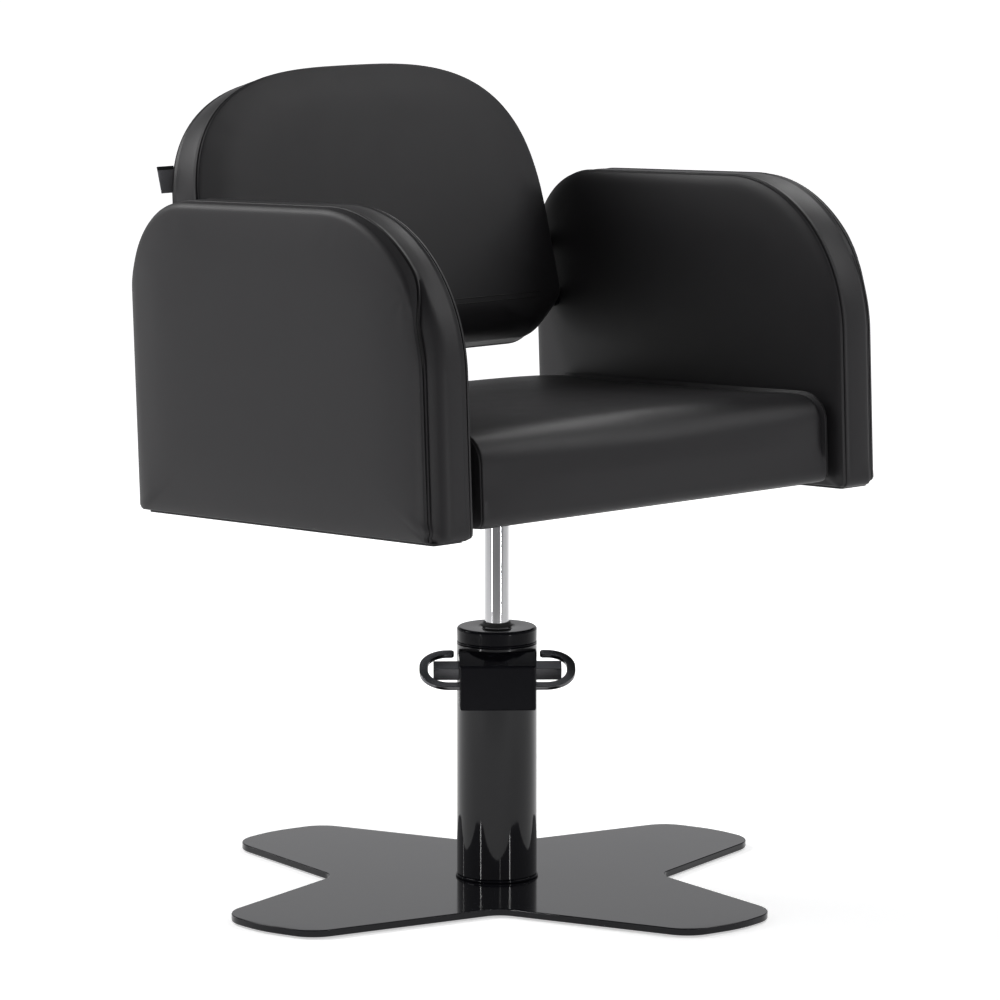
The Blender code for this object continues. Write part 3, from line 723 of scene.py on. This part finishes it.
class Upholstery:
    """A closed stuffed form: two panels on one outline with a band between them.

    The outline lies in (u, v) and the thickness runs along w from -half to
    half.  Each row of the skin is a ring moved in from the outline, and the
    seams are narrow channels between a panel's row and the band's.
    """

    def __init__(self, outline, centre, half, spacing=0.004):
        self.ring, self.normal = even_outline(outline, spacing)
        self.centre = np.array(centre)
        self.half = half
        ray = self.centre - self.ring
        self.ray = ray / np.hypot(*ray.T)[:, None]
        self.lean = np.maximum(0.45, -(self.ray * self.normal).sum(1))
        ones = np.ones(len(self.ring))
        self.seam = {1: ones.copy(), -1: ones.copy()}    # depth of each seam, round the outline
        self.roll = {1: 0 * ones, -1: 0 * ones}          # radius of a panel's rolled edge
        self.tuck = {1: 0 * ones, -1: 0 * ones}          # radius of the band's rolled edge
        self.crown = ones.copy()                         # how far the band may bulge

    def row(self, inset, across, scale=1.0):
        """The ring moved in by an inset, drawn to the centre by a scale, at one depth."""
        point = self.ring + self.ray * (inset / self.lean)[:, None]
        point = self.centre + (point - self.centre) * scale
        return np.column_stack([point, np.broadcast_to(across, len(point))])

    def panel(self, side, edge, rise, reach):
        """Rows of one panel from its middle to its seam."""
        rows = []
        top = self.half - edge
        roll = self.roll[side]
        insets = [0.030, 0.026, 0.0225, 0.0195, 0.0165, 0.014, 0.012, 0.010, 0.0083, 0.0068,
                  0.0056, 0.0046, 0.0038, 0.0031]
        for scale in np.linspace(0.04, 0.97, 26):
            inset = insets[0] + (1 - scale) * 0.10
            rows.append((insets[0], inset, scale))
        rows += [(inset, inset, 1.0) for inset in insets]
        made = []
        for inset, depth, scale in rows:
            swell = rise * (1 - np.exp(-depth / reach))
            fall = self.rolled(roll, depth)
            made.append(self.row(inset + self.tuck[side], side * (top + swell - fall), scale))
        return made

    def channel(self, side, edge):
        """Rows across one seam, from the panel's edge to the band's edge."""
        top = self.half - edge - self.roll[side]
        seam = self.seam[side]
        steps = ((0.0026, 0.0, 0.0003), (0.0023, 0.0, 0.0008), (0.0024, 0.0006, 0.0013),
                 (0.0024, 0.0020, 0.0016), (0.0024, 0.0030, 0.0019), (0.0022, 0.0020, 0.0023),
                 (0.0019, 0.0006, 0.0026), (0.0016, 0.0, 0.0032), (0.0014, 0.0, 0.0042))
        return [self.row(inset + deep * seam + self.tuck[side], side * (top - low))
                for inset, deep, low in steps]

    def band(self, edge, rise, reach, step):
        """Rows of the band, from the + seam to the - seam."""
        high = self.half - edge - self.roll[1] - 0.0060
        low = -(self.half - edge - self.roll[-1] - 0.0060)
        count = max(4, int((self.half * 2) / step))
        made = []
        for share in np.linspace(0, 1, count):
            across = high + (low - high) * share
            near = np.minimum(high - across, across - low)
            swell = rise * self.crown * (1 - np.exp(-near / reach))
            turned_in = self.rolled(self.tuck[1], high - across) + self.rolled(self.tuck[-1], across - low)
            made.append(self.row(0.0013 + (rise - swell) * self.crown + turned_in, across))
        return made

    @staticmethod
    def rolled(radius, depth):
        """How far a rolled edge of that radius has fallen at a depth from its end."""
        short = np.clip(radius - depth, 0, None)
        return radius - np.sqrt(np.maximum(0, radius ** 2 - short ** 2))

    def mesh(self, edge, rise, reach, band_rise, band_reach, band_step, seams=True):
        """Closed mesh through all the rows, with or without the seam channels."""
        rings = self.panel(1, edge, rise, reach)
        if seams:
            rings += self.channel(1, edge)
        rings += self.band(edge, band_rise, band_reach, band_step)
        if seams:
            rings += self.channel(-1, edge)[::-1]
        rings += self.panel(-1, edge, rise, reach)[::-1]
        count = len(self.ring)
        middle = [(*self.centre, rings[0][:, 2].mean()), (*self.centre, rings[-1][:, 2].mean())]
        verts = np.concatenate(rings + [np.array(middle)])
        last = len(rings) - 1
        faces = []
        for k in range(count):
            n = (k + 1) % count
            faces += [(r * count + k, (r + 1) * count + k, (r + 1) * count + n, r * count + n)
                      for r in range(last)]
            faces.append((len(verts) - 2, k, n))
            faces.append((len(verts) - 1, last * count + n, last * count + k))
        mesh = bpy.data.meshes.new("upholstery")
        mesh.from_pydata(verts.tolist(), [], faces)
        facing_out(mesh)
        return mesh

    def to_seam(self, points, edge):
        """Distance of points to the nearer seam line."""
        best = np.full(len(points), 1e9)
        for side in (1, -1):
            top = side * (self.half - edge - self.roll[side] - 0.002)
            line = self.row(self.tuck[side], top)
            for start in range(0, len(points), 4000):
                part = points[start:start + 4000]
                gap = np.sqrt(((part[:, None] - line[None]) ** 2).sum(2)).min(1)
                best[start:start + 4000] = np.minimum(best[start:start + 4000], gap)
        return best


def coordinates(mesh):
    """A mesh's points as an array."""
    points = np.empty(len(mesh.vertices) * 3, np.float32)
    mesh.vertices.foreach_get("co", points)
    return points.reshape(-1, 3).astype(float)


PRESSURE, FRAMES = 4.0, 20


def blown_up(mesh, held, cap, voxel):
    """Cloth simulation of the form under pressure with its seams held.

    Gives the even mesh it was run on and how far each of its points moved.
    """
    obj = loose(mesh)
    even = obj.modifiers.new("even", "REMESH")
    even.mode = "VOXEL"
    even.voxel_size = voxel
    obj = loose(baked(obj))
    start = coordinates(obj.data)
    group = obj.vertex_groups.new(name="held")
    for index, weight in enumerate(held(start)):
        if weight > 0:
            group.add([index], float(weight), "REPLACE")
    cloth = obj.modifiers.new("cloth", "CLOTH")
    settings = cloth.settings
    settings.quality = 5
    settings.mass = 0.25
    settings.tension_stiffness = settings.compression_stiffness = 15
    settings.shear_stiffness = 6
    settings.bending_stiffness = 0.6
    settings.use_pressure = True
    settings.uniform_pressure_force = PRESSURE
    settings.effector_weights.gravity = 0
    settings.vertex_group_mass = "held"
    cloth.point_cache.frame_end = FRAMES
    scene = bpy.context.scene
    for step in range(1, FRAMES + 1):
        scene.frame_set(step)
    graph = bpy.context.evaluated_depsgraph_get()
    moved = coordinates(obj.evaluated_get(graph).data) - start
    scene.frame_set(1)
    edges = np.array([e.vertices[:] for e in obj.data.edges])
    for _ in range(6):                    # evens out what the voxels leave
        total = np.zeros_like(moved)
        seen = np.zeros(len(moved))
        for a, b in ((0, 1), (1, 0)):
            np.add.at(total, edges[:, a], moved[edges[:, b]])
            np.add.at(seen, edges[:, a], 1)
        moved = 0.5 * moved + 0.5 * total / seen[:, None]
    length = np.linalg.norm(moved, axis=1, keepdims=True) + 1e-9
    moved *= cap * np.tanh(length / cap) / length
    polygons = [p.vertices[:] for p in obj.data.polygons]
    bpy.data.objects.remove(obj, do_unlink=True)
    return start, polygons, moved


def carried(mesh, start, polygons, moved):
    """Move a mesh's points with the simulated form they lie on."""
    tree = BVHTree.FromPolygons(start.tolist(), polygons)
    for vert in mesh.vertices:
        place, _, index, _ = tree.find_nearest(vert.co)
        corners = polygons[index]
        weights = poly_3d_calc([Vector(start[i]) for i in corners], place)
        vert.co += Vector(sum(w * moved[i] for w, i in zip(weights, corners)))


def stuffed(form, held, cap, voxel=0.0055, **swell):
    """The finished skin of a form: seamed mesh carried by the simulation."""
    skin = form.mesh(**swell)
    plain = form.mesh(**swell, seams=False)
    carried(skin, *blown_up(plain, held, cap, voxel))
    return skin


# ------------------------------------------------------------------- arms
ARM_FRONT, ARM_REAR, ARM_H = -0.283, 0.238, 0.355
ARM_FRONT_R, ARM_REAR_R, ARM_T = 0.178, 0.100, 0.068
ARM_EDGE, ARM_MIDDLE = 0.0095, (-0.02, 0.165)
SEAT_HALF_W = 0.338


def arm_side():
    """Arm from the side: flat sole, upright back, two round shoulders."""
    return rounded([(ARM_FRONT, 0.0, 0.009), (ARM_REAR, 0.0, 0.009), (ARM_REAR, ARM_H, ARM_REAR_R),
                    (ARM_FRONT, ARM_H, ARM_FRONT_R)], segments=40)


PUCKER = (-0.246, 0.262)          # where the arm's outer seam opens, in (y, z)
ARM_ROLL = 0.0100                 # rolled edge of the outer panel above the pucker
ARM_TUCK = 0.0160                 # rolled edge of the band below it
SLACK = {"right": 1.0, "left": 0.3}   # the cover is pulled tighter on the left arm


def make_arm(word, sign):
    """One arm's cover, its welt and the lining under it; sign is its side of the chair."""
    form = Upholstery(arm_side(), ARM_MIDDLE, ARM_T / 2)
    y, z = form.ring.T
    form.crown = ease((z - 0.004) / 0.03)
    below = ease((PUCKER[1] + 0.03 - z) / 0.07) * (y < -0.10)
    fade = ease((z - 0.03) / 0.10)
    sole = 1 - ease((z - 0.002) / 0.01)
    for side in (1, -1):
        form.seam[side] = (0.75 + 1.0 * below) * (0.25 + 0.75 * fade) * (1 - sole) + 0.35 * sole

    def held(points):
        near = form.to_seam(points, ARM_EDGE)
        return np.clip(np.maximum(1 - (near - 0.013) / 0.009, 1 - (points[:, 1] - 0.002) / 0.004), 0, 1)

    outer = 1 if sign > 0 else -1
    facing = np.clip(-form.normal[:, 0], 0, 1) ** 0.5       # 1 on the front, 0 on the sole
    form.tuck[outer] = ARM_TUCK * SLACK[word] * below * facing
    form.roll[outer] = ARM_ROLL * SLACK[word] * ease((z - PUCKER[1] + 0.03) / 0.06)
    mesh = stuffed(form, held, 0.0026, edge=ARM_EDGE, rise=0.0075, reach=0.010, band_rise=0.0012,
                   band_reach=0.009, band_step=0.0055)
    crease(mesh, outer * ARM_T / 2)
    aside = Matrix.Translation((sign * (SEAT_HALF_W - ARM_T / 2), 0, 0))
    nodes = [f"arm_{layer}_{word}" for layer in ("inner_pad", "core", "outer_pad")]
    arm = put(f"arm_upholstery_{word}", mesh, LEATHER, "seat", nodes,
              SEAT @ aside @ SIDE, 60, hard=False)
    welt(form, outer, SEAT @ aside @ SIDE, f"arm_welt_{word}")
    front, rear, half = ARM_FRONT + 0.012, ARM_REAR - 0.012, 0.021
    lining = slab(rounded([(front, -half, 0.004), (rear, -half, 0.004), (rear, half, 0.004),
                           (front, half, 0.004)], 4), -0.0006, 0.0020, 0.0003)
    put(f"arm_lining_{word}", lining, LINING, "seat",
        axes=SEAT @ aside @ Matrix.Rotation(pi / 2, 4, "Z"))


def crease(mesh, face):
    """Shallow gathers fanning out from the pucker in the outer panel and band."""
    for vert in mesh.vertices:
        y, z, w = vert.co
        if abs(w - face) > 0.03:
            continue
        du, dv = y - PUCKER[0], z - PUCKER[1]
        fade = np.exp(-(du * du + dv * dv) / 0.028 ** 2) * np.exp(-abs(w - face) / 0.015)
        wave = sin(atan2(dv, du) * 7.0 + hypot(du, dv) * 90.0)
        vert.co.z -= 0.0004 * fade * wave * (1 if face > 0 else -1)


def welt(form, side, axes, name):
    """Thin welt lying in the open stretch of the outer seam below the pucker."""
    y, z = form.ring.T
    path = [i for i in np.argsort(-z) if y[i] < -0.10 and 0.185 < z[i] < PUCKER[1]]
    across = side * (form.half - ARM_EDGE - form.roll[side] - 0.0018)
    row = form.row(form.tuck[side] + 0.0020, across)[path]
    put(name, swept(row, 0.0009), WELT, "seat", axes=axes)


def swept(path, radius, sides=8):
    """Round bar of one radius along a path, its ends drawn to a point."""
    path = [Vector(p) for p in path]
    verts, faces = [], []
    for i, here in enumerate(path):
        along = (path[min(i + 1, len(path) - 1)] - path[max(i - 1, 0)]).normalized()
        first = along.cross(Vector((0.31, 0.47, 0.83))).normalized()
        second = along.cross(first)
        from_end = min(i, len(path) - 1 - i)
        thick = radius * max(0.15, min(1.0, from_end / 3))
        verts += [here + (first * cos(2 * pi * k / sides) + second * sin(2 * pi * k / sides)) * thick
                  for k in range(sides)]
        if i:
            low = (i - 1) * sides
            faces += [(low + k, low + (k + 1) % sides, low + sides + (k + 1) % sides, low + sides + k)
                      for k in range(sides)]
    faces += [tuple(range(sides))[::-1], tuple(range(len(verts) - sides, len(verts)))]
    mesh = bpy.data.meshes.new("bar")
    mesh.from_pydata(verts, [], faces)
    facing_out(mesh)
    return mesh


# ------------------------------------------------------------------- seat
SEAT_HALF, SEAT_FRONT, SEAT_REAR = 0.2625, -0.276, 0.200
SEAT_LOW, SEAT_TOP, SEAT_NOSE_R, SEAT_EDGE = 0.0092, 0.113, 0.034, 0.003


def make_seat():
    """The cushion with its soft nose, and the lining under it."""
    outline = rounded([(SEAT_FRONT, SEAT_LOW, 0.012), (SEAT_REAR, SEAT_LOW, 0.008),
                       (SEAT_REAR, SEAT_TOP, 0.026), (SEAT_FRONT, SEAT_TOP, SEAT_NOSE_R)], segments=24)
    form = Upholstery(outline, (-0.03, 0.058), SEAT_HALF)
    z = form.ring[:, 1]
    form.crown = ease((z - SEAT_LOW - 0.004) / 0.05)
    sole = 1 - ease((z - SEAT_LOW - 0.001) / 0.008)
    for side in (1, -1):
        form.seam[side] = 0.7 * (1 - sole) + 0.2 * sole

    def held(points):
        near = form.to_seam(points, SEAT_EDGE)
        floor = 1 - (points[:, 1] - SEAT_LOW - 0.002) / 0.004
        return np.clip(np.maximum(1 - (near - 0.004) / 0.010, floor), 0, 1)

    mesh = stuffed(form, held, 0.0050, voxel=0.006, edge=SEAT_EDGE, rise=0.0012, reach=0.012,
                   band_rise=0.0060, band_reach=0.045, band_step=0.0075)
    cushion = put("seat_upholstery", mesh, LEATHER, "seat",
                  ["seat_cushion", "seat_board"], SEAT @ SIDE, 60, hard=False)
    lining = box_between((-SEAT_HALF + 0.014, SEAT_FRONT + 0.016, 0.0088),
                         (SEAT_HALF - 0.014, SEAT_REAR - 0.014, 0.0098))
    put("seat_lining", lining, LINING, "seat", axes=SEAT)


# ------------------------------------------------------------------- back
BACK_HALF, BACK_H, BACK_CORNER_R, BACK_SHOULDER = 0.261, 0.343, 0.060, 0.126
BACK_T, BACK_EDGE, BACK_UNDER_R = 0.0666, 0.0085, 0.042
BACK_STITCH_HALF, BACK_STITCHES = 0.232, (0.0475, 0.0535)


def back_face():
    """Back from the front: soft lower corners under one round top."""
    lower = rounded([(-BACK_HALF, 0, BACK_CORNER_R), (BACK_HALF, 0, BACK_CORNER_R),
                     (BACK_HALF, 0.2, 0), (-BACK_HALF, 0.2, 0)], segments=20)
    bottom = [p for p in lower if p[1] < BACK_SHOULDER]
    rise = BACK_H - BACK_SHOULDER
    top = []
    steps = 72
    for step in range(steps + 1):
        c, s = cos(pi * step / steps), sin(pi * step / steps)
        top.append((BACK_HALF * abs(c) ** (2 / 3) * (1 if c >= 0 else -1),
                    BACK_SHOULDER + rise * abs(s) ** (2 / 3)))
    return [p for p in bottom if p[0] >= 0] + top + [p for p in bottom if p[0] < 0]


def make_back():
    """The back with a deep rolled underside and two fine seams above it."""
    form = Upholstery(back_face(), (0.0, 0.17), BACK_T / 2)
    z = form.ring[:, 1]
    under = 1 - ease((z - 0.012) / 0.05)
    form.roll[1] = BACK_UNDER_R * under
    front_side = 0.55 + 0.5 * ease((0.25 - z) / 0.12)
    form.seam[1] = front_side * (1 - 0.6 * under)
    form.seam[-1] = np.full(len(z), 0.8)

    def held(points):
        near = form.to_seam(points, BACK_EDGE)
        return np.clip(1 - (near - 0.004) / 0.007, 0, 1)

    mesh = stuffed(form, held, 0.0032, edge=BACK_EDGE, rise=0.0062, reach=0.013, band_rise=0.0012,
                   band_reach=0.009, band_step=0.0055)
    place = BACK @ Matrix.Translation((0, BACK_T / 2, 0)) @ FACE
    back = put("back_upholstery", mesh, LEATHER, "seat",
               ["back_front_pad", "back_board", "back_rear_pad"], place, 60, hard=False)
    tree = BVHTree.FromPolygons([v.co.copy() for v in mesh.vertices],
                                [p.vertices[:] for p in mesh.polygons])
    for index, height in enumerate(BACK_STITCHES):
        path = []
        for across in np.linspace(-BACK_STITCH_HALF, BACK_STITCH_HALF, 91):
            origin = BACK @ Vector((across, -0.1, height))
            hit = tree.ray_cast(origin, BACK.to_3x3() @ Vector((0, 1, 0)))[0]
            if hit:
                path.append(hit)
        put(f"back_seam_{index + 1}", swept(path, 0.0006), WELT, "seat")


def make_tag():
    """Blank ribbon sewn into the back's rear seam, with a black strip of painted shade across its top."""
    low, high = corners_in("seam_tag", BACK)
    middle, half = (low.y + high.y) / 2, 0.0007
    # the top 14 per cent of the ribbon is painted shade, the grey below it is the ribbon
    shade_start = low.z + (high.z - low.z) * 0.86
    profile = rounded([(low.x, middle - half, 0.0006), (high.x, middle - half, 0),
                       (high.x, middle + half, 0), (low.x, middle + half, 0.0006)], 5)
    mesh = slab(profile, low.z, shade_start, 0.0)
    put("tag_ribbon", mesh, TAG, "seat", ["seam_tag"], BACK)
    # a black strip of lining across the ribbon's top stands for painted shade where it meets the seam
    mesh = slab(profile, shade_start + 0.0001, high.z, 0.0)
    put("tag_top_painted_shade", mesh, LINING, "seat", axes=BACK)


make_arm("left", 1)
make_arm("right", -1)
make_seat()
make_back()
make_tag()

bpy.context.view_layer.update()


# ------------------------------------------------------------ room and light
TOWARDS_CAMERA = Vector((-0.658, -0.753, 0.0))
TO_RIGHT = Vector((0.753, -0.658, 0.0))
CAMERA_PLACE, CAMERA_TILT, CAMERA_TURN = (-3.580, -4.098, 1.295), 81.147, -41.178
CAMERA_REACH = 5.4                # about how far the camera stands from the lift axis
FLOOR_REACH = 60.0


def around(degrees, distance, height):
    """Place round the chair: 0 is the camera's side, positive to its right."""
    turn = radians(degrees)
    return (TOWARDS_CAMERA * cos(turn) + TO_RIGHT * sin(turn)) * distance + Vector((0, 0, height))


def pale_floor():
    """White sweep that glows a little under the chair and more behind it and far off."""
    mesh = bpy.data.meshes.new("floor")
    corners = [(x * FLOOR_REACH, y * FLOOR_REACH, 0) for x, y in ((-1, -1), (1, -1), (1, 1), (-1, 1))]
    mesh.from_pydata(corners, [], [(0, 1, 2, 3)])
    floor = bpy.data.objects.new("studio_floor", mesh)
    bpy.context.scene.collection.objects.link(floor)
    made = Finish("pale_floor", Specular_IOR_Level=0.0, Emission_Strength=1.0)
    grain = made.noise(3.0, 3.0)
    made.roughness(0.8 + grain * 0.1)
    behind, across = (made.node("ShaderNodeVectorMath", {"operation": "DOT_PRODUCT"}, made.place(),
                                tuple(way)).output("Value") for way in (-TOWARDS_CAMERA, TO_RIGHT))
    sideways = across.maths("ABSOLUTE") / (behind + CAMERA_REACH)
    sweep = ((0.27 - sideways) / 0.13).clamped() * ((behind + 1.6) / 0.8).clamped()
    glow = (0.50 + ((behind - 0.3) / 1.5).clamped() * 0.45) * sweep
    away = made.node("ShaderNodeVectorMath", {"operation": "LENGTH"}, made.place()).output("Value")
    glow = glow + ((away - 5.0) / 4.0).clamped() * (1.0 - sweep) * 0.6
    made.give(made.shader.inputs["Emission Color"], made.between(glow, (0, 0, 0), (1, 1, 1)))
    made.colour(made.between(grain, (0.80, 0.80, 0.80), (0.83, 0.83, 0.83)))
    mesh.materials.append(made.material)


def softbox(name, place, aim, size, radiance):
    """Rectangular soft light of an even brightness."""
    lamp = bpy.data.lights.new(name, "AREA")
    lamp.shape = "RECTANGLE"
    lamp.size, lamp.size_y = size
    lamp.energy = radiance * pi * size[0] * size[1]
    obj = bpy.data.objects.new(name, lamp)
    obj.location = place
    obj.rotation_euler = (Vector(aim) - Vector(place)).to_track_quat("-Z", "Y").to_euler()
    bpy.context.scene.collection.objects.link(obj)


def studio():
    """Soft side lights over a white sweep, and thin lamps that draw lines in the gloss."""
    world = bpy.data.worlds.new("studio")
    world.use_nodes = True
    bpy.context.scene.world = world
    bpy.context.scene.view_settings.view_transform = "Standard"
    nodes = Nodes(world.node_tree)
    direction = nodes.node("ShaderNodeTexCoord", {}).output("Generated")
    height = nodes.node("ShaderNodeSeparateXYZ", {}, direction).output("Z")
    sky = world.node_tree.nodes["Background"].inputs
    sky["Color"].default_value = (1.0, 1.0, 1.02, 1)
    nodes.give(sky["Strength"], 0.12 + 0.58 * (1.0 - (height - 0.22) / 0.20).clamped())
    pale_floor()
    softbox("left", around(-100, 2.2, 2.2), (0, 0, 0.9), (1.2, 1.2), 11)
    softbox("right", around(85, 2.2, 2.2), (0, 0, 0.9), (1.2, 1.2), 4.2)
    softbox("right_top", around(85, 2.2, 3.2), (0, 0, 0.7), (1.2, 1.2), 3)
    softbox("rim", around(150, 2.2, 2.6), (0, 0, 0.9), (1.2, 1.2), 4.6)
    lines = ((-112, 0.40, 14), (9, 0.40, 14), (-47, 0.25, 90), (37, 0.25, 90))
    for number, (turn, lift, radiance) in enumerate(lines):
        softbox(f"line_{number + 1}", around(turn, 1.8, lift), (0, 0, lift), (0.03, 0.50), radiance)


def make_camera():
    """Long lens looking a little down on the chair's front corner."""
    lens = bpy.data.cameras.new("camera")
    lens.lens = 174.0
    lens.sensor_width = 36.0
    camera = bpy.data.objects.new("camera", lens)
    camera.location = CAMERA_PLACE
    camera.rotation_euler = (radians(CAMERA_TILT), 0, radians(CAMERA_TURN))
    bpy.context.scene.collection.objects.link(camera)
    bpy.context.scene.camera = camera


studio()
make_camera()
